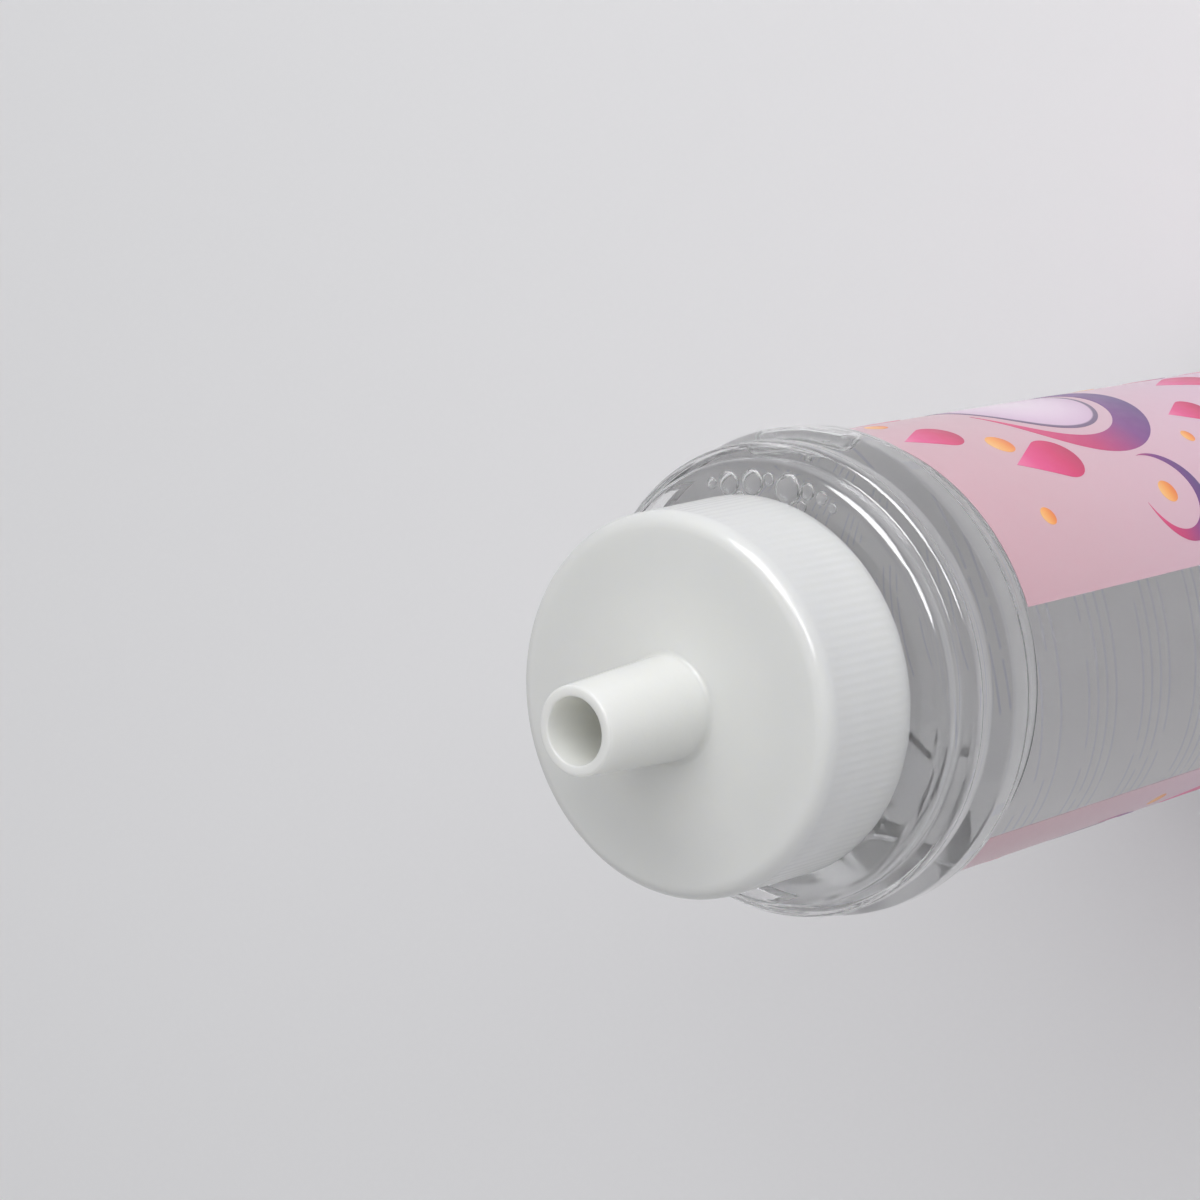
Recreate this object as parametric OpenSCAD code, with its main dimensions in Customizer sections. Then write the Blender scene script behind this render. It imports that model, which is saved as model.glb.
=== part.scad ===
// Clear blown bottle with a wrapped film label, full of clear gel, under a white
// screw cap whose top runs out into an open pouring spout.
// +Z runs up the axis from the standing ring to the spout, and the origin is the
// middle of the plane that the bottle stands on.

/* [Body] */
// Diameter of the straight wall under the label
panel_d = 62; // [54:1:70]
// Height from the standing ring to the flat shoulder
body_h = 155.3; // [125:0.1:180]
// Thickness of the blown wall
wall = 0.85; // [0.6:0.05:1.2]
// How far the two wide bands stand out from the straight wall
band_out = 1.77; // [1:0.01:2.5]
// Height of the wide band under the shoulder
band_h = 4.2; // [3:0.1:7]
// Height of the wide band at the foot
foot_band_h = 6; // [3:0.5:12]
// Height of the slope that leads from a wide band to the straight wall
band_slope = 1.4; // [1:0.1:2.5]
// Radius that rounds the edges of the wide bands
band_round = 1; // [0.5:0.1:1.2]
// Radius in the corners where a slope meets the straight wall
slope_round = 0.8; // [0.4:0.1:1.2]

/* [Shoulder] */
// How far the flat shoulder's edge lies inside the straight wall
shoulder_in = 1.35; // [0.5:0.05:2.5]
// Height of the step under the flat shoulder
step_h = 3.4; // [2.5:0.1:5]
// How far the narrow ring stands out from the straight wall
ring_out = 0.6; // [0.3:0.05:1.2]
// Height of the narrow ring
ring_h = 3.1; // [2.2:0.1:4]
// Height of the slope above the narrow ring's upper edge
ring_slope = 0.4; // [0.2:0.1:0.8]
// Radius that rounds the narrow ring's upper edge
ring_round = 0.8; // [0.4:0.1:1]
// Height of the groove between the narrow ring and the wide band
groove_h = 1.4; // [0.8:0.1:2]
// Radius in the corners of the groove and of the step
groove_round = 0.4; // [0.2:0.1:0.5]
// Height of the slope from the groove out to the wide band
lead_h = 2.8; // [2:0.1:4]
// Radius where that slope turns into the wide band
lead_round = 1.6; // [0.8:0.1:2]
// Radius of the shoulder's rounded outer edge
shoulder_round = 1.7; // [1:0.1:2.4]

/* [Foot] */
// Radius that rounds the heel into the standing ring
heel_round = 5; // [3:0.5:7]
// Width of the foot outside the hollow under the base
foot_rim_w = 8.8; // [8:0.1:12]
// Depth of the hollow under the base
foot_hollow_h = 3.2; // [2:0.1:3.6]
// Radius that rounds the inside of the hollow
hollow_round = 14; // [8:1:16]
// Radius that rounds the hollow's edge
hollow_edge_round = 1; // [0.5:0.1:1.5]
// Thickness of the base
base_t = 1.6; // [1:0.1:3]

/* [Neck] */
// Thickness of the neck's wall
neck_wall = 1.7; // [1.2:0.1:2.5]
// Radius in the corner between the neck and the shoulder
neck_round = 0.8; // [0.4:0.1:1.2]
// Depth of the thread that stands on the neck
thread_depth = 1.1; // [0.6:0.05:1.4]

/* [Cap] */
// Outer diameter at the cap's open edge
cap_d = 50.4; // [44:0.1:54]
// Thickness of the cap's skirt at its open edge
skirt_wall = 1.1; // [0.9:0.1:1.6]
// How much narrower the cap is at its top
cap_taper = 0.6; // [0:0.1:1.5]
// Height of the cap without its spout
cap_h = 17.4; // [14:0.1:24]
// Thickness of the cap's top
cap_top_t = 1.8; // [1.2:0.1:3]
// Radius of the cap's rounded top edge
cap_round = 2.2; // [1:0.1:3]
// Gap between the cap's open edge and the shoulder
cap_gap = 1.3; // [0.5:0.1:3]
// Clearance between the neck's thread and the cap's skirt
thread_clear = 0.3; // [0.2:0.05:0.6]
// Number of grip ribs
rib_count = 128; // [60:2:140]
// How far a rib stands out from the skirt
rib_out = 0.12; // [0.08:0.02:0.4]
// Height of the smooth band at the cap's open edge
rim_band = 1.4; // [0.8:0.1:3]

/* [Spout] */
// Length of the spout above the cap's top
spout_h = 18.1; // [10:0.1:40]
// Outer diameter at the spout's root
spout_root_d = 13.6; // [11:0.1:18]
// Outer diameter at the spout's tip
spout_tip_d = 11.4; // [10:0.1:13]
// Bore at the spout's tip
bore_d = 8.6; // [5:0.1:9]
// Bore at the spout's root
bore_root_d = 10.6; // [8:0.1:11]
// Length of the straight bore behind the tip
bore_straight = 8; // [5:0.5:9]
// Radius of the soft fillet at the spout's root
root_round = 0.8; // [0.3:0.1:1.5]
// Radius that rounds the spout's outer tip edge
tip_round = 0.4; // [0.2:0.1:0.8]

/* [Sealing ring] */
// Thickness of the foam ring inside the cap
liner_t = 1.5; // [0.8:0.1:2.5]
// Hole through the foam ring
liner_hole_d = 32; // [14:1:38]
// Clearance round the foam ring
liner_clear = 0.3; // [0.2:0.05:0.6]

/* [Gel] */
// Depth of the air above the gel in the neck
headspace = 5; // [4.5:0.5:12]
// Clearance between the gel and the wall
gel_clear = 0.05; // [0.02:0.01:0.2]
// Radius of the largest bubble under the shoulder
bubble_r = 2; // [1:0.1:2.4]
// Radius of the long bubble inside the wide band
pocket_r = 1.3; // [0.8:0.1:1.8]
// How far the long bubble runs round the band, in degrees
pocket_turn = 24; // [10:1:40]

/* [Label] */
// Gap from the upper slope of the straight wall to the label
label_top_gap = 2.05; // [1:0.05:5]
// Gap from the lower slope of the straight wall to the label
label_foot_gap = 2; // [1:0.1:5]
// Thickness of the clear film
film_t = 0.08; // [0.04:0.01:0.2]
// Thickness of each layer of ink
ink_t = 0.04; // [0.02:0.01:0.08]
// Clearance under each layer
layer_clear = 0.03; // [0.01:0.01:0.05]
// Bare film above and below the pink print
print_margin = 0.5; // [0.2:0.1:3]
// Width of the clear window, in degrees
window_turn = 62; // [30:1:90]
// Direction of the window's middle, in degrees
window_at = -100; // [-180:1:180]

/* [Printed shapes] */
// Radius of the disc on each side
moon_size = 13; // [8:0.5:16]
// Radius of the largest drop's round foot
drop_size = 4.4; // [2:0.1:6]
// Outer radius of the largest crescent
ripple_size = 17.5; // [10:0.5:18]
// Radius of the largest dot
dot_size = 2.2; // [1:0.1:3]

/* [Hidden] */

$fn = 180;
arc_steps = 6;
// Overshoots of blocks that cut
eps = 0.01;
over = 1;

panel_r = panel_d / 2;
band_r = panel_r + band_out;
ring_r = panel_r + ring_out;
groove_r = panel_r + ring_out / 10;
shoulder_r = panel_r - shoulder_in;
foot_hollow_r = band_r - foot_rim_w;
cap_r = cap_d / 2;
cap_top_r = cap_r - cap_taper / 2;
skirt_r = cap_r - skirt_wall;
neck_r = skirt_r - thread_clear - thread_depth;

// Heights of the shoulder's steps, from the flat shoulder down
step_z = body_h - step_h;
ring_z = step_z - ring_h;
groove_z = ring_z - groove_h;
band_top_z = groove_z - lead_h;
band_z = band_top_z - band_h;
panel_top_z = band_z - band_slope;

// Heights at the foot
foot_band_z = heel_round + foot_band_h;
panel_z = foot_band_z + band_slope;
foot_flat_r = foot_hollow_r * 0.68;

// The cap sits on the foam ring, and the ring on the neck's rim
cap_z = body_h + cap_gap;
cap_top_z = cap_z + cap_h;
liner_top_z = cap_top_z - cap_top_t;
rim_z = liner_top_z - liner_t;
tip_z = cap_top_z + spout_h;
gel_z = rim_z - headspace;

// Label heights and layers
label_top = panel_top_z - label_top_gap;
label_z = panel_z + label_foot_gap;
label_h = label_top - label_z;
film_r = panel_r + layer_clear;
print_r = film_r + film_t + layer_clear;

// The corner of a fillet becomes points along its arc, so that a short list of
// corners [r, z, fillet] describes a turned profile.
function unit(v) = v / norm(v);
function fillet_arc(before, corner, after, r) =
    let (u = unit(before - corner), v = unit(after - corner),
         half = acos(max(-1, min(1, u * v))) / 2,
         reach = r / tan(half),
         middle = corner + unit(u + v) * r / sin(half),
         from = corner + u * reach - middle,
         to = corner + v * reach - middle,
         a0 = atan2(from[1], from[0]),
         sweep = atan2(from[0] * to[1] - from[1] * to[0], from * to))
    [for (i = [0 : arc_steps]) let (a = a0 + sweep * i / arc_steps) middle + r * [cos(a), sin(a)]];
function xy(p) = [p[0], p[1]];
function rounded(list) =
    let (last = len(list) - 1)
    [for (i = [0 : last]) each
        (list[i][2] > 0 && i > 0 && i < last)
            ? fillet_arc(xy(list[i - 1]), xy(list[i]), xy(list[i + 1]), list[i][2])
            : [xy(list[i])]];
function reversed(list) = [for (i = [len(list) - 1 : -1 : 0]) list[i]];

// Corner of the body moved inwards by depth d. side is 1 where the wall above
// the corner's ledge faces down and -1 where it faces up. A fillet round the
// outside tightens as it moves in, and one in a groove opens.
function inset(r, z, side, fillet, d, groove = false) =
    [r - d, z + side * d, groove ? fillet + d : max(fillet - d, fillet / 8)];

// Outside of the body for d = 0, its inside for d = wall, and the gel beyond that
function body_side(d) = [
    inset(band_r, foot_band_z, -1, band_round, d),
    inset(panel_r, panel_z, -1, slope_round, d, true),
    inset(panel_r, panel_top_z, 1, slope_round, d, true),
    inset(band_r, band_z, 1, band_round, d),
    inset(band_r, band_top_z, -1, lead_round, d),
    inset(groove_r, groove_z, -1, groove_round, d, true),
    inset(groove_r, ring_z - groove_h / 3, 1, groove_round, d, true),
    inset(ring_r, ring_z, 1, groove_round, d),
    inset(ring_r, step_z - ring_slope, -1, ring_round, d),
    inset(shoulder_r, step_z, -1, groove_round, d, true),
    inset(shoulder_r, body_h, -1, shoulder_round, d)
];

// Underside of the base, from the axis out to the heel
foot = [
    [0, foot_hollow_h, 0],
    [foot_flat_r, foot_hollow_h, hollow_round],
    [foot_hollow_r, 0, hollow_edge_round],
    [band_r, 0, heel_round]
];

// Inside of the base at a depth d beyond the outer skin
function base_floor(d) =
    let (floor_z = base_t - wall + d)
    [
        [0, foot_hollow_h + floor_z, 0],
        [foot_flat_r, foot_hollow_h + floor_z, hollow_round - base_t],
        [foot_hollow_r, floor_z, hollow_edge_round + base_t],
        [band_r - d, floor_z, heel_round - d]
    ];

module bottle() {
    outside = concat(foot, body_side(0), [[neck_r, body_h, neck_round], [neck_r, rim_z, 0]]);
    inside = concat(base_floor(wall), body_side(wall),
        [[neck_r - neck_wall, body_h - wall, neck_round + wall], [neck_r - neck_wall, rim_z, 0]]);
    color([0.86, 0.87, 0.88, 0.35])
        rotate_extrude()
            polygon(concat(rounded(outside), reversed(rounded(inside))));
}

// Bubbles that rest against the underside of the shoulder: direction in degrees,
// then distance from the shoulder's edge and radius, both in radii of the largest
bubbles = [[12.4, 1.55, 0.8], [4, 1.6, 0.85], [-1.8, 1.3, 0.45], [-8.4, 1.7, 1], [-15.2, 1.35, 0.55],
           [-20.2, 1.3, 0.45], [2, 3.05, 0.55], [-8.2, 3.15, 0.4], [8.6, 2.5, 0.4],
           [-14.5, 2.45, 0.4], [18, 1.3, 0.4], [-24.6, 1.5, 0.35]];

module gel() {
    d = wall + gel_clear;
    inside = concat(base_floor(d), body_side(d),
        [[neck_r - neck_wall - gel_clear, body_h - d, neck_round + wall],
         [neck_r - neck_wall - gel_clear, gel_z, 0], [0, gel_z, 0]]);
    color([0.8, 0.79, 0.8, 0.3])
        difference() {
            rotate_extrude() polygon(rounded(inside));
            for (b = bubbles)
                rotate([0, 0, b[0]])
                    translate([shoulder_r - bubble_r * b[1], 0, body_h - d - bubble_r * b[2] * 0.6])
                        sphere(r = bubble_r * b[2], $fn = 48);
            long_bubble();
        }
}

// Bubble caught inside the wide band: a length of round tube with round ends
module long_bubble() {
    middle_r = band_r - wall - pocket_r * 0.8;
    middle_z = (band_z + band_top_z) / 2;
    rotate([0, 0, -pocket_turn / 2])
        rotate_extrude(angle = pocket_turn)
            translate([middle_r, middle_z]) circle(r = pocket_r, $fn = 48);
    for (end = [-1, 1])
        rotate([0, 0, end * pocket_turn / 2])
            translate([middle_r, 0, middle_z]) sphere(r = pocket_r, $fn = 48);
}

module label_film() {
    color([0.93, 0.92, 0.94, 0.3])
        rotate_extrude() translate([film_r, label_z]) square([film_t, label_h]);
}

// Ink all the way round, but for the clear window
module panel() {
    rotate([0, 0, window_at + window_turn / 2])
        rotate_extrude(angle = 360 - window_turn)
            translate([print_r, label_z + print_margin]) square([ink_t, label_h - 2 * print_margin]);
}

// Straight blocks that point out from the axis, one at each place on both sides.
// A place is [direction in degrees from the middle of its side, distance below
// the label's top as a share of its height, size as a share of the largest].
module stamps(places, size) {
    for (side = [0, 180], p = places)
        rotate([0, 0, window_at + 90 + side + p[0]])
            translate([panel_r / 2, 0, label_top - label_h * p[1]])
                rotate([90, 0, 90])
                    linear_extrude(panel_r) scale(size * p[2]) children();
}

moons = [[13, 0.337, 1]];
drops = [[-3, 0.098, 0.77], [-21, 0.222, 0.95], [27, 0.16, 0.82], [-34, 0.53, 0.86],
         [-12, 0.576, 0.68], [38, 0.567, 1], [8, 0.71, 0.91], [-25, 0.78, 0.73], [24, 0.88, 0.86],
         [-10, 0.93, 0.8]];
ripples = [[9, 0.36, 1], [-39, 0.372, 0.43], [-32, 0.647, 0.37], [32, 0.72, 0.4],
           [-38, 0.9, 0.4]];
dots = [[-12, 0.16, 1], [12, 0.071, 0.73], [-38, 0.363, 0.82], [-22, 0.496, 0.55], [24, 0.576, 0.82],
        [-8, 0.65, 0.68], [46, 0.425, 0.73], [-38, 0.115, 0.64], [7, 0.82, 0.82], [46, 0.84, 0.68]];

module moon_stamps() stamps(moons, moon_size) circle(r = 1);

// A drop is a round foot with a straight-sided point
module drop_stamps() {
    point = 2.4;
    lean = asin(1 / point);
    stamps(drops, drop_size) {
        circle(r = 1);
        polygon([[0, point], [-cos(lean), sin(lean)], [cos(lean), sin(lean)]]);
    }
}

module ripple_stamps() {
    stamps(ripples, ripple_size)
        difference() {
            circle(r = 1);
            translate([0.12, 0.16]) circle(r = 0.86);
        }
}

module dot_stamps() stamps(dots, dot_size) circle(r = 1);

// The pink panel, open where a shape is printed in another colour
module label_print() {
    color([0.82, 0.66, 0.71])
        difference() {
            panel();
            moon_stamps();
            drop_stamps();
            ripple_stamps();
            dot_stamps();
        }
}

module moon_print() {
    color([0.88, 0.8, 0.88]) intersection() { panel(); moon_stamps(); }
}

module drop_print() {
    color([0.78, 0.2, 0.38]) intersection() { panel(); drop_stamps(); }
}

module ripple_print() {
    color([0.42, 0.3, 0.5]) intersection() { panel(); ripple_stamps(); }
}

module dot_print() {
    color([0.92, 0.58, 0.34]) intersection() { panel(); dot_stamps(); }
}

module liner_ring() {
    color([0.9, 0.9, 0.88])
        translate([0, 0, rim_z])
            difference() {
                cylinder(r = skirt_r - liner_clear, h = liner_t);
                translate([0, 0, -eps]) cylinder(d = liner_hole_d, h = liner_t + 2 * eps);
            }
}

// Skirt, top and spout as one turned profile, hollow from the open edge up
module cap_shell(out) {
    root_r = spout_root_d / 2;
    outside = [
        [cap_r - out, cap_z, 0],
        [cap_top_r - out, cap_top_z, cap_round],
        [root_r, cap_top_z, root_round],
        [spout_tip_d / 2, tip_z, tip_round],
        [bore_d / 2, tip_z, 0]
    ];
    inside = [
        [bore_d / 2, tip_z - bore_straight, 0],
        [bore_root_d / 2, liner_top_z, 0],
        [skirt_r, liner_top_z, 0],
        [skirt_r, cap_z, 0]
    ];
    rotate_extrude() polygon(concat(rounded(outside), rounded(inside)));
}

// Star of narrow wedges that stand on the skirt's root surface
module rib_star(h) {
    pitch = 360 / rib_count;
    linear_extrude(h)
        polygon([for (i = [0 : rib_count - 1], k = [0 : 3])
            let (a = pitch * (i + [0, 0.22, 0.5, 0.72][k]),
                 r = k == 1 || k == 2 ? cap_r + over : skirt_r + thread_clear)
            r * [cos(a), sin(a)]]);
}

module spout_cap() {
    rib_low = cap_z + rim_band;
    rib_high = cap_top_z - cap_round;
    color([0.82, 0.82, 0.79]) {
        cap_shell(rib_out);
        intersection() {
            translate([0, 0, rib_low]) rib_star(rib_high - rib_low);
            cap_shell(0);
        }
        intersection() {
            difference() {
                translate([0, 0, cap_z]) cylinder(r = cap_r + over, h = rim_band);
                translate([0, 0, cap_z - eps]) cylinder(r = skirt_r, h = rim_band + 2 * eps);
            }
            cap_shell(0);
        }
    }
}

bottle();
gel();
label_film();
label_print();
moon_print();
drop_print();
ripple_print();
dot_print();
liner_ring();
spout_cap();
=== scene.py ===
import math

import bmesh
import bpy
from mathutils import Matrix, Vector


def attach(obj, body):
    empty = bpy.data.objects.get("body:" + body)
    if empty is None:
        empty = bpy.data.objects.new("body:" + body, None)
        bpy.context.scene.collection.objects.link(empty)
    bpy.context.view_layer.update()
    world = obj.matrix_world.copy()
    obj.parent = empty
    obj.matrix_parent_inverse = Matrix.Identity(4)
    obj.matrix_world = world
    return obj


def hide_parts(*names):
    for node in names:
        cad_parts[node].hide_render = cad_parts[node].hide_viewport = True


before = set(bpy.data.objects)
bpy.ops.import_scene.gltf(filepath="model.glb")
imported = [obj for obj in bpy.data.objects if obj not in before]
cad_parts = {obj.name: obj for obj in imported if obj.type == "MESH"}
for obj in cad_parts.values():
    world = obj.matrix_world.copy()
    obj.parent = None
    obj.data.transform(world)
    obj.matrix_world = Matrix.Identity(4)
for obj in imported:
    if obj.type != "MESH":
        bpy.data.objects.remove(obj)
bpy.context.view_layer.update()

mm = 0.001


# Scene and camera

stage = {
    "floorSize": 6.0,            # metres
    "floorColour": (0.90, 0.90, 0.91, 1),
    "worldLow": (0.50, 0.50, 0.52, 1),
    "worldHigh": (0.92, 0.92, 0.93, 1),
    "worldStrength": 0.63,
    # two windows side by side: direction, size in metres, soft light in watts
    "windows": [((0.83, -0.16, 0.53), (0.76, 0.7), 4.4), ((0.545, -0.65, 0.53), (0.46, 0.7), 2.2)],
    "lightDistance": 1.0,        # metres from the target
    "target": (0, 0, 0.144),     # metres, in the wide band
    "mirrored": 14,              # strength of a window's mirror image in shiny pieces
    "mirroredEdge": 0.06,        # how softly that image ends, as a share of its radius
}

view = {
    "place": (87.08, -260.65, 495.19),       # mm
    "forward": (-0.1744, 0.6361, -0.7517),
    "right": (0.0, -0.7634, -0.6460),
    "lens": 100.55,
}


def makeCamera():
    data = bpy.data.cameras.new("camera")
    data.lens = view["lens"]
    data.sensor_width = 36
    data.clip_start = 0.01
    camera = bpy.data.objects.new("camera", data)
    forward = Vector(view["forward"]).normalized()
    right = Vector(view["right"]).normalized()
    up = right.cross(forward)
    turn = Matrix((right, up, -forward)).transposed().to_4x4()
    camera.matrix_world = Matrix.Translation(Vector(view["place"]) * mm) @ turn
    bpy.context.scene.collection.objects.link(camera)
    bpy.context.scene.camera = camera


# The soft light of a window. Its crisp mirror image is a bright patch of the world.
def makeLight(name, direction, size, power):
    data = bpy.data.lights.new(name, "AREA")
    data.shape = "RECTANGLE"
    data.size, data.size_y = size
    data.energy = power
    lamp = bpy.data.objects.new(name, data)
    away = Vector(direction).normalized()
    lamp.rotation_euler = away.to_track_quat("Z", "Y").to_euler()
    lamp.location = Vector(stage["target"]) + away * stage["lightDistance"]
    lamp.visible_glossy = lamp.visible_transmission = False
    bpy.context.scene.collection.objects.link(lamp)


def makeWorld():
    world = bpy.data.worlds.new("world")
    world.use_nodes = True
    nodes, links = world.node_tree.nodes, world.node_tree.links
    background = nodes["Background"]
    place = nodes.new("ShaderNodeTexCoord")
    split = nodes.new("ShaderNodeSeparateXYZ")
    sky = nodes.new("ShaderNodeValToRGB")
    sky.color_ramp.elements[0].color = stage["worldLow"]
    sky.color_ramp.elements[1].color = stage["worldHigh"]
    rays = nodes.new("ShaderNodeLightPath")
    links.new(place.outputs["Generated"], split.inputs[0])
    links.new(split.outputs["Z"], sky.inputs[0])
    links.new(sky.outputs[0], background.inputs["Color"])
    patches = windowPatches(nodes, links, place.outputs["Generated"])
    mirrored = mathNode(nodes, links, "MULTIPLY", patches, rays.outputs["Is Glossy Ray"])
    strength = mathNode(nodes, links, "ADD", mirrored, stage["worldStrength"])
    links.new(strength, background.inputs["Strength"])
    bpy.context.scene.world = world


# How bright the windows are seen in each direction of the world
def windowPatches(nodes, links, direction):
    patches, soft = [], stage["mirroredEdge"]
    for towards, size, power in stage["windows"]:
        dot = nodes.new("ShaderNodeVectorMath")
        dot.operation = "DOT_PRODUCT"
        links.new(direction, dot.inputs[0])
        dot.inputs[1].default_value = Vector(towards).normalized()
        patch = nodes.new("ShaderNodeMapRange")
        radius = math.atan(size[0] / 2 / stage["lightDistance"])
        patch.inputs["From Min"].default_value = math.cos(radius * (1 + soft))
        patch.inputs["From Max"].default_value = math.cos(radius * (1 - soft))
        patch.inputs["To Max"].default_value = stage["mirrored"]
        links.new(dot.outputs["Value"], patch.inputs[0])
        patches.append(patch.outputs[0])
    return mathNode(nodes, links, "ADD", *patches)


def makeFloor():
    bm = bmesh.new()
    bmesh.ops.create_grid(bm, x_segments=1, y_segments=1, size=stage["floorSize"] / 2)
    floor = meshObject("floor", bm)
    floor.data.materials.append(plainMaterial("floorPaper", stage["floorColour"], 0.85))


# Node helpers for materials

def newMaterial(name):
    material = bpy.data.materials.new(name)
    material.use_nodes = True
    tree = material.node_tree
    return material, tree.nodes, tree.links, tree.nodes["Principled BSDF"]


def plainMaterial(name, colour, roughness):
    material, nodes, links, shader = newMaterial(name)
    shader.inputs["Base Color"].default_value = colour
    shader.inputs["Roughness"].default_value = roughness
    return material


# Noise on the piece's own coordinates. stretch squeezes it along each axis.
def noise(nodes, links, scale, detail=3, stretch=(1, 1, 1)):
    place = nodes.new("ShaderNodeTexCoord")
    mapping = nodes.new("ShaderNodeMapping")
    mapping.inputs["Scale"].default_value = stretch
    texture = nodes.new("ShaderNodeTexNoise")
    texture.inputs["Scale"].default_value = scale
    texture.inputs["Detail"].default_value = detail
    links.new(place.outputs["Object"], mapping.inputs[0])
    links.new(mapping.outputs[0], texture.inputs["Vector"])
    return texture.outputs["Fac"]


def ramp(nodes, links, factor, stops):
    node = nodes.new("ShaderNodeValToRGB")
    elements = node.color_ramp.elements
    elements[0].position, elements[0].color = stops[0][0], (*stops[0][1], 1)
    elements[1].position, elements[1].color = stops[-1][0], (*stops[-1][1], 1)
    for position, colour in stops[1:-1]:
        elements.new(position).color = (*colour, 1)
    links.new(factor, node.inputs[0])
    return node.outputs[0]


# A step of arithmetic on two values, each a number or another node's output
def mathNode(nodes, links, kind, first, second=0):
    node = nodes.new("ShaderNodeMath")
    node.operation = kind
    for socket, value in zip(node.inputs, (first, second)):
        if isinstance(value, (int, float)):
            socket.default_value = value
        else:
            links.new(value, socket)
    return node.outputs[0]


def spread(nodes, links, factor, low, high):
    node = nodes.new("ShaderNodeMapRange")
    node.inputs["To Min"].default_value = low
    node.inputs["To Max"].default_value = high
    links.new(factor, node.inputs[0])
    return node.outputs[0]


def bump(nodes, links, shader, height, distance, strength):
    node = nodes.new("ShaderNodeBump")
    node.inputs["Strength"].default_value = strength
    node.inputs["Distance"].default_value = distance
    links.new(height, node.inputs["Height"])
    links.new(node.outputs[0], shader.inputs["Normal"])


# Mesh helpers

def meshObject(name, bm, sharp=40):
    for face in bm.faces:
        face.smooth = True
    for edge in bm.edges:
        if len(edge.link_faces) == 2 and edge.calc_face_angle(0) > math.radians(sharp):
            edge.smooth = False
    mesh = bpy.data.meshes.new(name)
    bm.to_mesh(mesh)
    bm.free()
    piece = bpy.data.objects.new(name, mesh)
    bpy.context.scene.collection.objects.link(piece)
    return piece


# A closed wire through corners (radius, height, fillet), all in mm
def roundedWire(bm, corners, segments=6, closed=True):
    points = [Vector((r, 0, z)) * mm for r, z, fillet in corners]
    wire = [bm.verts.new(p) for p in points]
    for i in range(len(wire) - (0 if closed else 1)):
        bm.edges.new((wire[i], wire[(i + 1) % len(wire)]))
    for i, (r, z, fillet) in enumerate(corners):
        if fillet:
            before = points[i - 1] - points[i]
            after = points[(i + 1) % len(points)] - points[i]
            reach = fillet * mm / math.tan(before.angle(after) / 2)
            bmesh.ops.bevel(bm, geom=[wire[i]], offset=reach, segments=segments, profile=0.5,
                            affect="VERTICES", material=-1, clamp_overlap=False)


# The wire turned round the axis: one sector is spun, then copied round and joined up
def turned(corners, steps, segments=6, closed=True, sectors=16):
    bm = bmesh.new()
    roundedWire(bm, corners, segments, closed)
    axis = {"cent": (0, 0, 0), "axis": (0, 0, 1), "dvec": (0, 0, 0)}
    bmesh.ops.spin(bm, geom=bm.verts[:] + bm.edges[:], angle=math.tau / sectors,
                   steps=steps // sectors, **axis)
    bmesh.ops.spin(bm, geom=bm.verts[:] + bm.edges[:] + bm.faces[:], steps=sectors - 1,
                   angle=math.tau * (sectors - 1) / sectors, use_duplicate=True, **axis)
    bmesh.ops.remove_doubles(bm, verts=bm.verts, dist=0.0002 * mm)
    bmesh.ops.recalc_face_normals(bm, faces=bm.faces)
    return bm


def finish(piece, body, slot, *replaced):
    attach(piece, body)
    if replaced:
        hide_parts(*replaced)


# Bottle

bottle = {
    # radii, then heights, in mm
    "panel": 31.0, "band": 32.77, "ring": 31.6, "groove": 31.06, "shoulder": 29.65,
    "neck": 22.7, "neckWall": 1.7, "wall": 0.85,
    "footHollow": 23.97, "footFlat": 16.3, "footDepth": 3.2, "heel": 5.0, "base": 1.6,
    "footBand": 11.0, "panelLow": 12.4, "panelHigh": 139.0, "bandLow": 140.4, "bandHigh": 144.6,
    "grooveHeight": 147.4, "ringLow": 148.8, "step": 151.9, "top": 155.3, "rim": 170.7,
    "steps": 256,
    "ior": 1.5,
    "seamTurn": 47, "seamOffsets": (-0.42, -0.16, 0, 0.16, 0.42), "seamOut": 0.05,
}


# The outer skin from the foot band up to the shoulder's edge, moved inwards by depth. Each corner is
# radius, height, the way its height moves, fillet, and whether the fillet is a hollow one.
def bodySide(depth):
    b = bottle
    corners = [
        (b["band"], b["footBand"], -1, 1.0, False),
        (b["panel"], b["panelLow"], -1, 0.8, True),
        (b["panel"], b["panelHigh"], 1, 0.8, True),
        (b["band"], b["bandLow"], 1, 1.0, False),
        (b["band"], b["bandHigh"], -1, 1.6, False),
        (b["groove"], b["grooveHeight"], -1, 0.4, True),
        (b["groove"], b["ringLow"] - 0.467, 1, 0.4, True),
        (b["ring"], b["ringLow"], 1, 0.4, False),
        (b["ring"], b["step"] - 0.4, -1, 0.8, False),
        (b["shoulder"], b["step"], -1, 0.4, True),
        (b["shoulder"], b["top"], -1, 1.7, False),
    ]
    return [(r - depth, z + side * depth, fillet + depth if inner else max(fillet - depth, fillet / 8))
            for r, z, side, fillet, inner in corners]


def baseInside(depth):
    b = bottle
    floor = b["base"] - b["wall"] + depth
    return [
        (0, b["footDepth"] + floor, 0),
        (b["footFlat"], b["footDepth"] + floor, 12.4),
        (b["footHollow"], floor, 2.6),
        (b["band"] - depth, floor, b["heel"] - depth),
    ]


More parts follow.
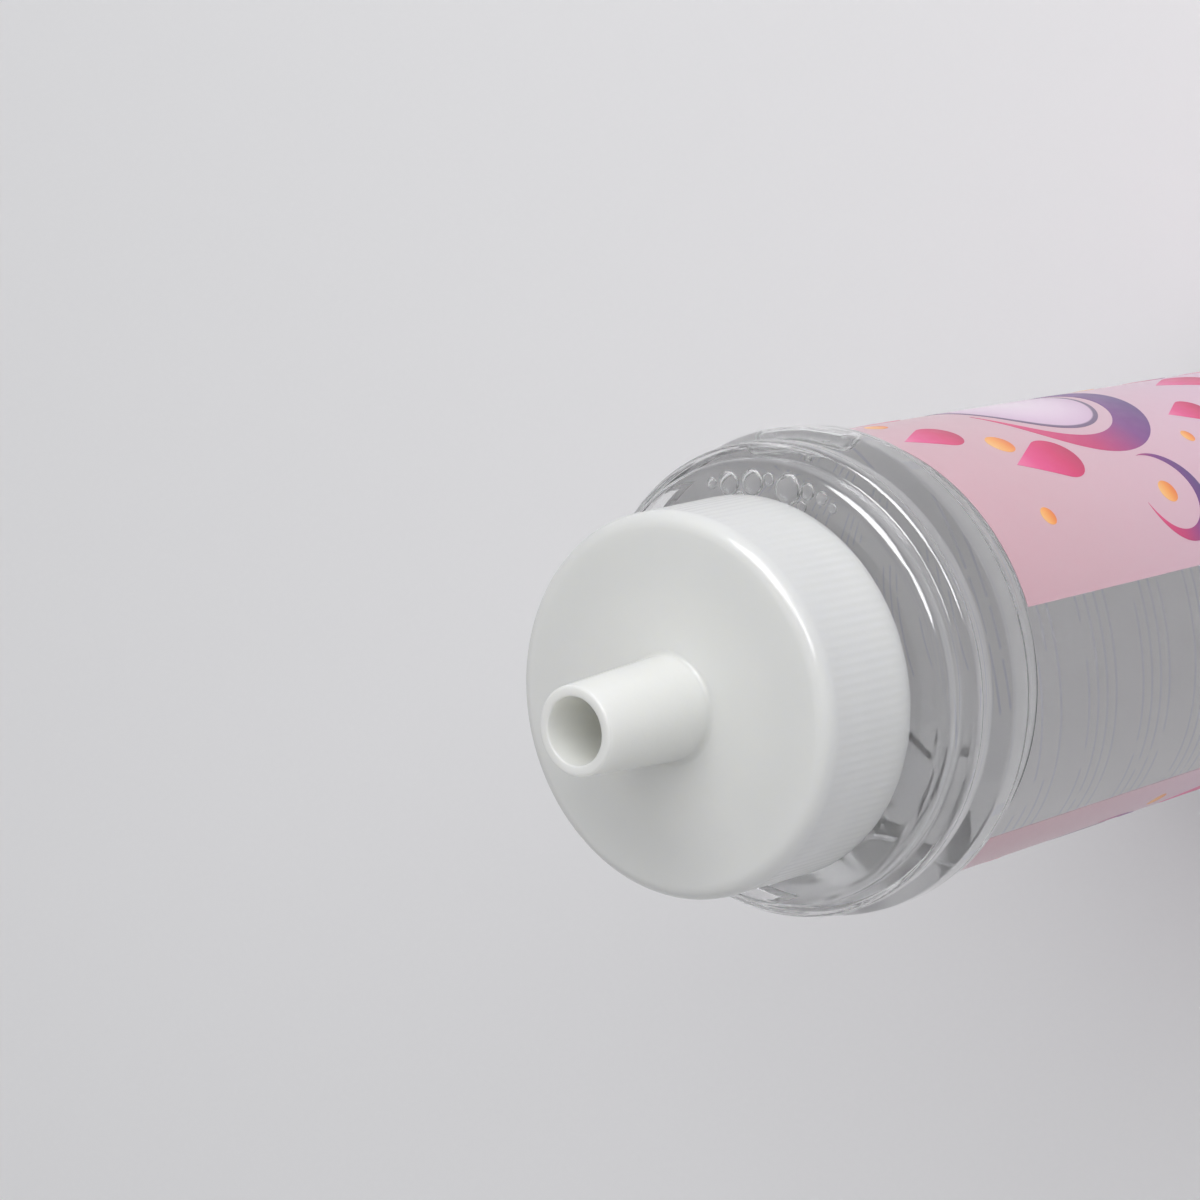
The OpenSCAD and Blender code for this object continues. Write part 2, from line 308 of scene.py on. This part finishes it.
# The fine raised line that the two halves of the blow mould leave up both sides
def raiseSeam(bm):
    turn = math.radians(bottle["seamTurn"])
    across = Vector((-math.sin(turn), math.cos(turn), 0))
    for offset in bottle["seamOffsets"]:
        bmesh.ops.bisect_plane(bm, geom=bm.verts[:] + bm.edges[:] + bm.faces[:], dist=1e-7,
                               plane_co=across * offset * mm, plane_no=across)
    for vert in bm.verts:
        flat = Vector((vert.co.x, vert.co.y, 0))
        onSeam = abs(flat.dot(across)) < 0.01 * mm and flat.length > 1 * mm
        if onSeam and vert.normal.dot(flat) > 0.2 * flat.length and vert.co.z > 1 * mm:
            vert.co += flat.normalized() * bottle["seamOut"] * mm


def makeBottle():
    b = bottle
    outside = [(0, b["footDepth"], 0), (b["footFlat"], b["footDepth"], 14), (b["footHollow"], 0, 1),
               (b["band"], 0, b["heel"]), *bodySide(0),
               (b["neck"], b["top"], 0.8), (b["neck"], b["rim"], 0.3)]
    inside = [*baseInside(b["wall"]), *bodySide(b["wall"]),
              (b["neck"] - b["neckWall"], b["top"] - b["wall"], 1.65),
              (b["neck"] - b["neckWall"], b["rim"], 0.3)]
    bm = turned(outside + inside[::-1], b["steps"], closed=False)
    raiseSeam(bm)
    for height in (label["low"], label["high"], gel["level"]):
        bmesh.ops.bisect_plane(bm, geom=bm.verts[:] + bm.edges[:] + bm.faces[:], dist=1e-7,
                               plane_co=(0, 0, height * mm), plane_no=(0, 0, 1))
    markContact(bm)
    piece = meshObject("blown_bottle", bm)
    piece.data.materials.append(clearPlastic())
    piece.data.materials.append(contactMaterial("wallOnGel", b["ior"] / gel["ior"], (0.985, 0.99, 0.99)))
    piece.data.materials.append(contactMaterial("wallUnderFilm", 1.0, (1, 1, 1)))
    finish(piece, "bottle", "clear_wall", "bottle")
    print("bottle made")


# Faces that gel or the label's film wets: light bends there only by the step between the two
def markContact(bm):
    for face in bm.faces:
        middle = face.calc_center_median()
        outwards = face.normal.x * middle.x + face.normal.y * middle.y
        inside = outwards < 0 if abs(face.normal.z) < 0.7 else (face.normal.z > 0) == (middle.z < 20 * mm)
        underFilm = label["low"] * mm < middle.z < label["high"] * mm
        if inside and middle.z < gel["level"] * mm:
            face.material_index = 1
        elif underFilm and not inside:
            face.material_index = 2


# A surface between two clear stuffs, by the ratio of how much they bend light
def contactMaterial(name, ratio, tint):
    material, nodes, links, shader = newMaterial(name)
    shader.inputs["Base Color"].default_value = (*tint, 1)
    shader.inputs["Transmission Weight"].default_value = 1.0
    shader.inputs["IOR"].default_value = ratio
    shader.inputs["Roughness"].default_value = 0.0
    return material


# Its fine waves are those of a blown wall
def clearPlastic():
    material, nodes, links, shader = newMaterial("clearPlastic")
    shader.inputs["Base Color"].default_value = (0.985, 0.99, 0.99, 1)
    shader.inputs["Transmission Weight"].default_value = 1.0
    shader.inputs["IOR"].default_value = bottle["ior"]
    grain = noise(nodes, links, 900, 2)
    links.new(spread(nodes, links, grain, 0.01, 0.05), shader.inputs["Roughness"])
    shader.inputs["Coat Weight"].default_value = 1.0
    shader.inputs["Coat Roughness"].default_value = 0.14
    waves = noise(nodes, links, 45, 1.5, (1, 1, 0.6))
    bump(nodes, links, shader, waves, 0.25 * mm, 0.35)
    return material


# Gel

gel = {
    "clearance": 0.05, "skin": 0.05,     # mm to the wall, and of gel round a bubble
    "level": 165.7,
    "meniscus": 0.6,
    "steps": 192,
    "ior": 1.4,
    # direction in degrees, then distance from the shoulder's edge and radius
    "bubbles": [(12.4, 3.1, 1.6), (4, 3.2, 1.7), (-1.8, 2.6, 0.9), (-8.4, 3.4, 2), (-15.2, 2.7, 1.1),
                (-20.2, 2.6, 0.9), (2, 6.1, 1.1), (-8.2, 6.3, 0.8), (8.6, 5, 0.8), (-14.5, 4.9, 0.8),
                (18, 2.6, 0.8), (-24.6, 3, 0.7)],
    "flat": 0.55, "flatTop": 0.25,
    "pocketLong": 29, "pocketAt": 3, "pocketHigh": 1.9, "pocketDeep": 1.9,
    "pocketFlat": 0.75,         # share of its depth that isn't flattened against the wall
    "bead": (-1, 0.5), "beadDepth": 1.8,
}


# Bubbles that lie flattened against the underside of the shoulder
def addBubbles(bm):
    ceiling = bottle["top"] - bottle["wall"] - gel["clearance"]
    for turn, inwards, radius in gel["bubbles"]:
        verts = bmesh.ops.create_uvsphere(bm, u_segments=36, v_segments=20, radius=radius * mm)["verts"]
        top = radius * gel["flatTop"]
        for vert in verts:
            vert.co.z = min(vert.co.z * gel["flat"], top * mm)
        out = bottle["shoulder"] - inwards
        angle = math.radians(turn)
        place = Vector((out * math.cos(angle), out * math.sin(angle), ceiling - top - gel["skin"]))
        bmesh.ops.translate(bm, vec=place * mm, verts=verts)
        hollowOut(bm, verts)


# A bubble's faces look into it, because they bound the gel round it
def hollowOut(bm, verts):
    faces = list({face for vert in verts for face in vert.link_faces})
    for face in faces:
        face.material_index = 1
    bmesh.ops.reverse_faces(bm, faces=faces)


# The long bubble caught inside the wide band: a ball pulled out along the band and bent round it
def addPocket(bm):
    inner = bottle["band"] - bottle["wall"] - gel["clearance"] - gel["skin"]
    height = (bottle["bandLow"] + bottle["bandHigh"]) / 2
    half = math.radians(gel["pocketLong"]) / 2
    verts = bmesh.ops.create_uvsphere(bm, u_segments=40, v_segments=32, radius=mm)["verts"]
    bmesh.ops.rotate(bm, verts=verts, matrix=Matrix.Rotation(math.pi / 2, 3, "X"))
    for vert in verts:
        across, along, up = vert.co / mm
        end = gel["pocketHigh"] / inner
        angle = math.radians(gel["pocketAt"]) + along * end
        angle += math.copysign(half - end, along) if abs(along) > 1e-4 else 0
        radius = min(inner, inner + (across - gel["pocketFlat"]) * gel["pocketDeep"])
        vert.co = Vector((radius * math.cos(angle), radius * math.sin(angle),
                          height + up * gel["pocketHigh"])) * mm
    hollowOut(bm, verts)
    turn, radius = gel["bead"]
    angle = math.radians(turn)
    verts = bmesh.ops.create_uvsphere(bm, u_segments=20, v_segments=12, radius=radius * mm)["verts"]
    out = inner - radius - gel["pocketDeep"] * gel["beadDepth"]
    bmesh.ops.translate(bm, verts=verts,
                        vec=Vector((out * math.cos(angle), out * math.sin(angle), height)) * mm)
    hollowOut(bm, verts)


def makeGel():
    depth = bottle["wall"] + gel["clearance"]
    inner = bottle["neck"] - bottle["neckWall"] - gel["clearance"]
    corners = [*baseInside(depth), *bodySide(depth), (inner, bottle["top"] - depth, 1.5),
               (inner, gel["level"] + gel["meniscus"], 0), (inner - 1.5, gel["level"], 1.2),
               (0, gel["level"], 0)]
    bm = turned(corners, gel["steps"], closed=False)
    for face in bm.faces:
        if face.normal.z > 0.3 and face.calc_center_median().z > (gel["level"] - 0.1) * mm:
            face.material_index = 1
    addBubbles(bm)
    addPocket(bm)
    piece = meshObject("clear_gel", bm)
    piece.data.materials.append(contactMaterial("gelSkin", 1.0, (0.985, 0.98, 0.982)))
    piece.data.materials.append(contactMaterial("gelAgainstAir", gel["ior"], (1, 1, 1)))
    finish(piece, "bottle", "clear_gel", "gel")
    print("gel made")


# Label

label = {
    # mm; margin is the bare film above and below the print
    "low": 14.4, "high": 136.95, "margin": 0.5,
    "filmInside": 31.02, "filmOutside": 31.11,
    "printInside": 31.09, "printOutside": 31.16,
    "shapeInside": 31.10, "shapeOutside": 31.20,
    "windowAt": -100, "windowTurn": 62,     # degrees
    "strip": 0.9,               # widest flat strip of a wrapped shape, in mm
    "inkScatter": 0.09, "whiteScatter": 0.4,    # mm
    # rules in mm, thick and used as shares, columns and their half width in degrees
    "rules": {"spacing": 2.4, "thick": 0.22, "group": 14.4, "used": 0.64, "low": 30, "high": 118,
              "columns": (101, 63), "half": 15, "wordScale": 9, "wordShift": 3.7, "gap": 0.42},
    "moon": 13, "drop": 4.4, "ripple": 17.5, "dot": 2.2,
    # degrees from the middle of each side, distance below the top as a share of the height, size share
    "moons": [(13, 0.337, 1)],
    "drops": [(-3, 0.098, 0.77), (-21, 0.222, 0.95), (27, 0.16, 0.82), (-34, 0.53, 0.86),
              (-12, 0.576, 0.68), (38, 0.567, 1), (8, 0.71, 0.91), (-25, 0.78, 0.73),
              (24, 0.88, 0.86), (-10, 0.93, 0.8)],
    "ripples": [(9, 0.36, 1), (-39, 0.372, 0.43), (-32, 0.647, 0.37), (32, 0.72, 0.4),
                (-38, 0.9, 0.4)],
    "dots": [(-12, 0.16, 1), (12, 0.071, 0.73), (-38, 0.363, 0.82), (-22, 0.496, 0.55),
             (24, 0.576, 0.82), (-8, 0.65, 0.68), (46, 0.425, 0.73), (-38, 0.115, 0.64),
             (7, 0.82, 0.82), (46, 0.84, 0.68)],
    "dropPoint": 2.4,
    "rippleShift": (0.12, 0.16), "rippleInner": 0.86,
}


def makeFilm():
    corners = [(label["filmInside"], label["low"], 0), (label["filmOutside"], label["low"], 0),
               (label["filmOutside"], label["high"], 0), (label["filmInside"], label["high"], 0)]
    bm = turned(corners, 240)
    for face in bm.faces:
        middle = face.calc_center_median()
        if middle.xy.length < (label["filmInside"] + 0.02) * mm:
            face.material_index = 1
    piece = meshObject("label_film_wrap", bm)
    piece.data.materials.append(filmMaterial())
    piece.data.materials.append(contactMaterial("filmOnWall", 1.0, (1, 1, 1)))
    finish(piece, "bottle", "label_film", "label_film")
    print("film made")


def filmMaterial():
    material, nodes, links, shader = newMaterial("clearFilm")
    shader.inputs["Base Color"].default_value = (0.93, 0.92, 0.935, 1)
    shader.inputs["Transmission Weight"].default_value = 1.0
    shader.inputs["IOR"].default_value = bottle["ior"]
    haze = noise(nodes, links, 60, 3)
    links.new(spread(nodes, links, haze, 0.01, 0.04), shader.inputs["Roughness"])
    return material


# Bends flat geometry, x along the wall and z up, round the label's wall at a radius
def wrap(verts, turn, height, radius):
    for vert in verts:
        angle = math.radians(turn) + vert.co.x / (label["printOutside"] * mm)
        vert.co = (radius * mm * math.cos(angle), radius * mm * math.sin(angle),
                   vert.co.z + height * mm)


# Thickens wrapped faces outwards into a closed sheet
def thicken(bm, inside, outside):
    made = bmesh.ops.extrude_face_region(bm, geom=bm.faces[:])
    for vert in (v for v in made["geom"] if isinstance(v, bmesh.types.BMVert)):
        vert.co.x *= outside / inside
        vert.co.y *= outside / inside
    bmesh.ops.recalc_face_normals(bm, faces=bm.faces)


def makePanel():
    bm = bmesh.new()
    turn = 360 - label["windowTurn"]
    width = math.radians(turn) * label["printOutside"]
    low, high = label["low"] + label["margin"], label["high"] - label["margin"]
    verts = bmesh.ops.create_grid(bm, x_segments=turn, y_segments=8, size=0.5)["verts"]
    for vert in verts:
        vert.co = (vert.co.x * width * mm, 0, vert.co.y * (high - low) * mm)
    wrap(verts, label["windowAt"] + 180, (low + high) / 2, label["printInside"])
    thicken(bm, label["printInside"], label["printOutside"])
    for face in bm.faces:
        middle = face.calc_center_median()
        if face.normal.x * middle.x + face.normal.y * middle.y < -0.5 * middle.xy.length:
            face.material_index = 1
    piece = meshObject("pink_panel", bm)
    piece.data.materials.append(pinkMaterial())
    piece.data.materials.append(underlayMaterial())
    finish(piece, "bottle", "pink_print", "label_print")
    print("panel made")


# 0 at the label's low edge, 1 at its high edge
def heightShare(nodes, links):
    place = nodes.new("ShaderNodeTexCoord")
    split = nodes.new("ShaderNodeSeparateXYZ")
    links.new(place.outputs["Object"], split.inputs[0])
    share = nodes.new("ShaderNodeMapRange")
    share.inputs["From Min"].default_value = label["low"] * mm
    share.inputs["From Max"].default_value = label["high"] * mm
    links.new(split.outputs["Z"], share.inputs[0])
    return share.outputs[0]


# Ink is so thin that light scattered in it comes out on both sides
def scatter(shader, reach):
    shader.inputs["Subsurface Weight"].default_value = 1.0
    shader.inputs["Subsurface Radius"].default_value = (1, 1, 1)
    shader.inputs["Subsurface Scale"].default_value = reach * mm


def printSheen(nodes, links, shader):
    scatter(shader, label["inkScatter"])
    shader.inputs["Coat Weight"].default_value = 0.35
    shader.inputs["Coat Roughness"].default_value = 0.18
    fibre = noise(nodes, links, 500, 3)
    links.new(spread(nodes, links, fibre, 0.38, 0.5), shader.inputs["Roughness"])


# Two columns of fine broken rules on the plain back of the label: 1 on a rule, else 0
def fineRules(nodes, links):
    rules = label["rules"]

    def node(kind, first, second=0):
        return mathNode(nodes, links, kind, first, second)

    place = nodes.new("ShaderNodeTexCoord")
    split = nodes.new("ShaderNodeSeparateXYZ")
    links.new(place.outputs["Object"], split.inputs[0])
    height = split.outputs["Z"]
    turn = node("ARCTAN2", split.outputs["Y"], split.outputs["X"])
    line = node("DIVIDE", height, rules["spacing"] * mm)
    onLine = node("LESS_THAN", node("FRACT", line), rules["thick"])
    above = node("GREATER_THAN", height, rules["low"] * mm)
    below = node("LESS_THAN", height, rules["high"] * mm)
    inGroup = node("LESS_THAN", node("FRACT", node("DIVIDE", height, rules["group"] * mm)), rules["used"])
    words = nodes.new("ShaderNodeCombineXYZ")
    links.new(node("MULTIPLY", turn, rules["wordScale"]), words.inputs[0])
    links.new(node("MULTIPLY", node("FLOOR", line), rules["wordShift"]), words.inputs[1])
    broken = nodes.new("ShaderNodeTexNoise")
    broken.inputs["Scale"].default_value = 2
    broken.inputs["Detail"].default_value = 2
    links.new(words.outputs[0], broken.inputs["Vector"])
    onWord = node("GREATER_THAN", broken.outputs["Fac"], rules["gap"])
    columns = []
    for middle in rules["columns"]:
        away = node("ABSOLUTE", node("SUBTRACT", turn, math.radians(middle)))
        columns.append(node("LESS_THAN", away, math.radians(rules["half"])))
    mark = node("ADD", *columns)
    for limit in (onLine, inGroup, above, below, onWord):
        mark = node("MULTIPLY", mark, limit)
    return mark


# Lays a colour over the tone where the mark is 1
def overprint(nodes, links, shader, tone, mark, colour):
    mix = nodes.new("ShaderNodeMix")
    mix.data_type = "RGBA"
    links.new(mark, mix.inputs["Factor"])
    links.new(tone, mix.inputs[6])
    mix.inputs[7].default_value = (*colour, 1)
    links.new(mix.outputs[2], shader.inputs["Base Color"])


def pinkMaterial():
    material, nodes, links, shader = newMaterial("pinkInk")
    tone = ramp(nodes, links, heightShare(nodes, links),
                [(0, (0.69, 0.50, 0.65)), (0.55, (0.67, 0.46, 0.54)), (0.85, (0.64, 0.42, 0.475)),
                 (1, (0.63, 0.40, 0.455))])
    overprint(nodes, links, shader, tone, fineRules(nodes, links), (0.40, 0.30, 0.52))
    printSheen(nodes, links, shader)
    return material


# White ink under the pink, seen from inside the bottle, with the rules showing through
def underlayMaterial():
    material, nodes, links, shader = newMaterial("underlayInk")
    cloud = noise(nodes, links, 40, 2)
    tone = ramp(nodes, links, cloud, [(0.3, (0.96, 0.93, 0.94)), (0.7, (0.98, 0.95, 0.96))])
    overprint(nodes, links, shader, tone, fineRules(nodes, links), (0.80, 0.79, 0.88))
    scatter(shader, label["whiteScatter"])
    shader.inputs["Specular IOR Level"].default_value = 0.0
    shader.inputs["Roughness"].default_value = 0.8
    return material


# Flat shapes of unit size in the plane of x and z

def flatDisc(bm):
    return bmesh.ops.create_circle(bm, segments=96, radius=1, cap_ends=True)["verts"]


# A round foot whose upper side is drawn out to a point
def flatDrop(bm):
    verts = bmesh.ops.create_circle(bm, segments=64, radius=1, cap_ends=True)["verts"]
    lean = math.asin(1 / label["dropPoint"])
    for vert in verts:
        angle = math.atan2(vert.co.y, abs(vert.co.x))
        if angle > lean:
            share = (angle - lean) / (math.pi / 2 - lean)
            start = Vector((math.copysign(math.cos(lean), vert.co.x), math.sin(lean), 0))
            vert.co = start.lerp(Vector((0, label["dropPoint"], 0)), share)
    return verts


# A strip bent between an outer circle and a smaller one that is shifted towards the opening
def flatCrescent(bm):
    verts = bmesh.ops.create_grid(bm, x_segments=64, y_segments=3, size=1)["verts"]
    shift, inner = Vector(label["rippleShift"]), label["rippleInner"]
    reach = (shift.length_squared + 1 - inner * inner) / (2 * shift.length)
    outerOpen = math.acos(reach)
    innerOpen = math.acos((reach - shift.length) / inner)
    aim = math.atan2(shift.y, shift.x) + math.pi
    for vert in verts:
        along, across = vert.co.x, (vert.co.y + 1) / 2
        outerAngle = aim + along * (math.pi - outerOpen)
        innerAngle = aim + along * (math.pi - innerOpen)
        outerPoint = Vector((math.cos(outerAngle), math.sin(outerAngle)))
        innerPoint = shift + inner * Vector((math.cos(innerAngle), math.sin(innerAngle)))
        vert.co.xy = outerPoint.lerp(innerPoint, across)
    return verts


# Copies of one flat shape at all its places on both sides, as one closed sheet each
def makeShapes(name, slot, replaced, places, size, flatShape, material):
    whole = bmesh.new()
    part = bpy.data.meshes.new("part")
    for side in (0, 180):
        for turn, below, share in places:
            bm = bmesh.new()
            verts = flatShape(bm)
            bmesh.ops.remove_doubles(bm, verts=bm.verts, dist=1e-5)
            uv = bm.loops.layers.uv.new("shape")
            for face in bm.faces:
                for loop in face.loops:
                    loop[uv].uv = (loop.vert.co.x, loop.vert.co.y)
            for vert in bm.verts:
                vert.co = Vector((vert.co.x, 0, vert.co.y)) * size * share * mm
            reach = size * share
            cuts = int(2 * reach / label["strip"])
            for i in range(1, cuts):
                offset = (2 * i / cuts - 1) * reach * mm
                bmesh.ops.bisect_plane(bm, geom=bm.verts[:] + bm.edges[:] + bm.faces[:], dist=1e-7,
                                       plane_co=(offset, 0, 0), plane_no=(1, 0, 0))
            height = label["high"] - (label["high"] - label["low"]) * below
            wrap(bm.verts, label["windowAt"] + 90 + side + turn, height, label["shapeInside"])
            thicken(bm, label["shapeInside"], label["shapeOutside"])
            bm.to_mesh(part)
            bm.free()
            whole.from_mesh(part)
    bpy.data.meshes.remove(part)
    piece = meshObject(name, whole)
    piece.data.materials.append(material)
    finish(piece, "bottle", slot, replaced)
    print(name, "made")


# Distance from a shape's middle, where its edge is at 1, read from the shape's own map
def fromMiddle(nodes, links):
    uv = nodes.new("ShaderNodeUVMap")
    uv.uv_map = "shape"
    length = nodes.new("ShaderNodeVectorMath")
    length.operation = "LENGTH"
    links.new(uv.outputs[0], length.inputs[0])
    return length.outputs["Value"]


# 0 at one height in a shape's own map, 1 at another
def upTheShape(nodes, links, low, high):
    uv = nodes.new("ShaderNodeUVMap")
    uv.uv_map = "shape"
    split = nodes.new("ShaderNodeSeparateXYZ")
    links.new(uv.outputs[0], split.inputs[0])
    share = nodes.new("ShaderNodeMapRange")
    share.inputs["From Min"].default_value = low
    share.inputs["From Max"].default_value = high
    links.new(split.outputs["Y"], share.inputs[0])
    return share.outputs[0]


def inkMaterial(name, factor, stops):
    material, nodes, links, shader = newMaterial(name)
    links.new(ramp(nodes, links, factor(nodes, links), stops), shader.inputs["Base Color"])
    printSheen(nodes, links, shader)
    return material


def makeLabel():
    makeFilm()
    makePanel()
    makeShapes("lilac_discs", "lilac_print", "moon_print", label["moons"], label["moon"], flatDisc,
               inkMaterial("lilacInk", fromMiddle,
                           [(0, (0.84, 0.72, 0.82)), (0.6, (0.76, 0.60, 0.74)), (0.93, (0.66, 0.48, 0.64)),
                            (0.95, (0.16, 0.10, 0.20)), (1, (0.16, 0.10, 0.20))]))
    makeShapes("crimson_drops", "crimson_print", "drop_print", label["drops"], label["drop"], flatDrop,
               inkMaterial("crimsonInk", lambda n, l: upTheShape(n, l, -1, 2.4),
                           [(0, (0.50, 0.01, 0.10)), (0.3, (0.66, 0.02, 0.15)), (0.7, (0.76, 0.06, 0.25)),
                            (1, (0.82, 0.18, 0.38))]))
    makeShapes("purple_crescents", "purple_print", "ripple_print", label["ripples"], label["ripple"],
               flatCrescent,
               inkMaterial("purpleInk", lambda n, l: upTheShape(n, l, -1, 0.9),
                           [(0, (0.10, 0.04, 0.20)), (0.35, (0.20, 0.04, 0.24)), (0.7, (0.54, 0.03, 0.17)),
                            (1, (0.68, 0.05, 0.19))]))
    makeShapes("orange_dots", "orange_print", "dot_print", label["dots"], label["dot"], flatDisc,
               inkMaterial("orangeInk", lambda n, l: upTheShape(n, l, -1, 1),
                           [(0, (0.80, 0.20, 0.04)), (0.5, (0.90, 0.36, 0.08)), (1, (0.94, 0.54, 0.20))]))


# Cap

cap = {
    # mm
    "edge": 25.2, "top": 24.9, "low": 156.6, "high": 174.0, "round": 2.2, "skirt": 24.1,
    "ceiling": 172.2,
    "rootRadius": 6.8, "tipRadius": 5.7, "tip": 192.1, "bore": 4.3, "boreRoot": 5.3, "boreStraight": 8.0,
    "ribs": 128, "ribOut": 0.05, "rimBand": 1.4, "stepsPerRib": 6,
}


def skirtRadius(z):
    share = (z - cap["low"]) / (cap["high"] - cap["low"])
    return cap["edge"] + (cap["top"] - cap["edge"]) * share


# The skirt has rows of points just past both ends of the ribs, so that they end crisply
def makeCap():
    c = cap
    ribLow, ribHigh = c["low"] + c["rimBand"], c["high"] - c["round"]
    corners = [(skirtRadius(c["low"]), c["low"], 0.25)]
    for z in (ribLow - 0.12, ribLow + 0.12, ribHigh - 0.45, ribHigh - 0.05):
        corners.append((skirtRadius(z), z, 0))
    corners += [
        (c["top"], c["high"], c["round"] - 0.1),
        (c["rootRadius"], c["high"], 0.8),
        (c["tipRadius"], c["tip"], 0.4),
        (c["bore"], c["tip"], 0.25),
        (c["bore"], c["tip"] - c["boreStraight"], 0.6),
        (c["boreRoot"], c["ceiling"], 0.3),
        (c["skirt"], c["ceiling"], 0.4),
        (c["skirt"], c["low"], 0.2),
    ]
    bm = turned(corners, c["ribs"] * c["stepsPerRib"])
    for vert in bm.verts:
        z, radius = vert.co.z / mm, vert.co.xy.length / mm
        if ribLow < z < ribHigh - 0.2 and radius > skirtRadius(z) - 0.02:
            wave = 0.5 + 0.5 * math.cos(math.atan2(vert.co.y, vert.co.x) * c["ribs"])
            vert.co.xy *= 1 - c["ribOut"] * wave ** 0.7 / radius
    piece = meshObject("cap_and_spout", bm)
    piece.data.materials.append(capMaterial())
    finish(piece, "cap", "white_cap", "spout_cap")
    print("cap made")


def capMaterial():
    material, nodes, links, shader = newMaterial("whitePlastic")
    tone = noise(nodes, links, 55, 3)
    links.new(ramp(nodes, links, tone, [(0.3, (0.765, 0.775, 0.745)), (0.7, (0.795, 0.80, 0.77))]),
              shader.inputs["Base Color"])
    shader.inputs["Subsurface Weight"].default_value = 0.8
    shader.inputs["Subsurface Radius"].default_value = (1.0, 0.97, 0.85)
    shader.inputs["Subsurface Scale"].default_value = 4 * mm
    shader.inputs["IOR"].default_value = 1.48
    grain = noise(nodes, links, 1800, 3)
    links.new(spread(nodes, links, grain, 0.5, 0.6), shader.inputs["Roughness"])
    shader.inputs["Coat Weight"].default_value = 0.5
    shader.inputs["Coat Roughness"].default_value = 0.06
    bump(nodes, links, shader, grain, 0.012 * mm, 0.6)
    return material


# Threads

thread = {
    # mm; fade is the number of steps over which a ridge runs out
    "pitch": 4.233, "turns": 1.5, "stepsPerTurn": 120, "fade": 10,
    "neckRoot": 22.6, "neckCrest": 23.75, "neckLow": 158.4,
    "capRoot": 24.2, "capCrest": 23.0, "capLow": 160.5,
}


# A ridge with a trapezoid section that climbs round the axis and runs out at both ends
def makeThread(name, body, slot, root, crest, low, material):
    t = thread
    bm = bmesh.new()
    steps = int(t["turns"] * t["stepsPerTurn"])
    section = [(root, -1.0), (crest, -0.35), (crest, 0.35), (root, 1.0)]
    verts = [bm.verts.new(Vector((r, 0, low + z)) * mm) for r, z in section]
    face = bm.faces.new(verts)
    made = bmesh.ops.spin(bm, geom=[face, *face.edges, *verts], cent=(0, 0, 0), axis=(0, 0, 1),
                          dvec=(0, 0, t["pitch"] / t["stepsPerTurn"] * mm),
                          angle=math.tau * t["turns"], steps=steps)
    bmesh.ops.remove_doubles(bm, verts=bm.verts, dist=0.0001 * mm)
    bm.verts.ensure_lookup_table()
    climb = t["pitch"] * t["turns"]
    for vert in bm.verts:
        middle = vert.co.z / mm - low
        ends = min(middle, climb - middle) / (t["pitch"] / t["stepsPerTurn"]) / t["fade"]
        share = max(0.0, min(1.0, ends))
        radius = vert.co.xy.length / mm
        if abs(radius - crest) < 0.01:
            vert.co.xy *= (root + (crest - root) * share) / radius
    bmesh.ops.recalc_face_normals(bm, faces=bm.faces)
    piece = meshObject(name, bm, 25)
    piece.data.materials.append(material)
    finish(piece, body, slot)
    print(name, "made")


# Foam ring

# mm
liner = {"outer": 23.8, "inner": 16.0, "low": 170.7, "high": 172.2, "round": 0.25}


def makeLiner():
    corners = [(r, z, liner["round"]) for r, z in
               ((liner["inner"], liner["low"]), (liner["outer"], liner["low"]),
                (liner["outer"], liner["high"]), (liner["inner"], liner["high"]))]
    piece = meshObject("foam_liner", turned(corners, 160, 3))
    material, nodes, links, shader = newMaterial("closedFoam")
    cells = noise(nodes, links, 2600, 4)
    links.new(ramp(nodes, links, cells, [(0.35, (0.62, 0.62, 0.58)), (0.65, (0.80, 0.80, 0.76))]),
              shader.inputs["Base Color"])
    shader.inputs["Roughness"].default_value = 0.8
    bump(nodes, links, shader, cells, 0.05 * mm, 0.8)
    piece.data.materials.append(material)
    finish(piece, "liner", "foam_ring", "liner_ring")
    print("liner made")


makeCamera()
makeWorld()
makeFloor()
for number, window in enumerate(stage["windows"]):
    makeLight(f"window{number}", *window)
makeBottle()
makeGel()
makeLabel()
makeCap()
makeThread("neck_thread", "bottle", "clear_wall", thread["neckRoot"], thread["neckCrest"],
           thread["neckLow"], bpy.data.materials["clearPlastic"])
makeThread("cap_thread", "cap", "white_cap", thread["capRoot"], thread["capCrest"],
           thread["capLow"], bpy.data.materials["whitePlastic"])
makeLiner()

scene = bpy.context.scene
scene.view_settings.view_transform = "Standard"
scene.cycles.max_bounces = 32
scene.cycles.diffuse_bounces = 8
scene.cycles.glossy_bounces = 12
scene.cycles.transmission_bounces = 28
scene.cycles.transparent_max_bounces = 32
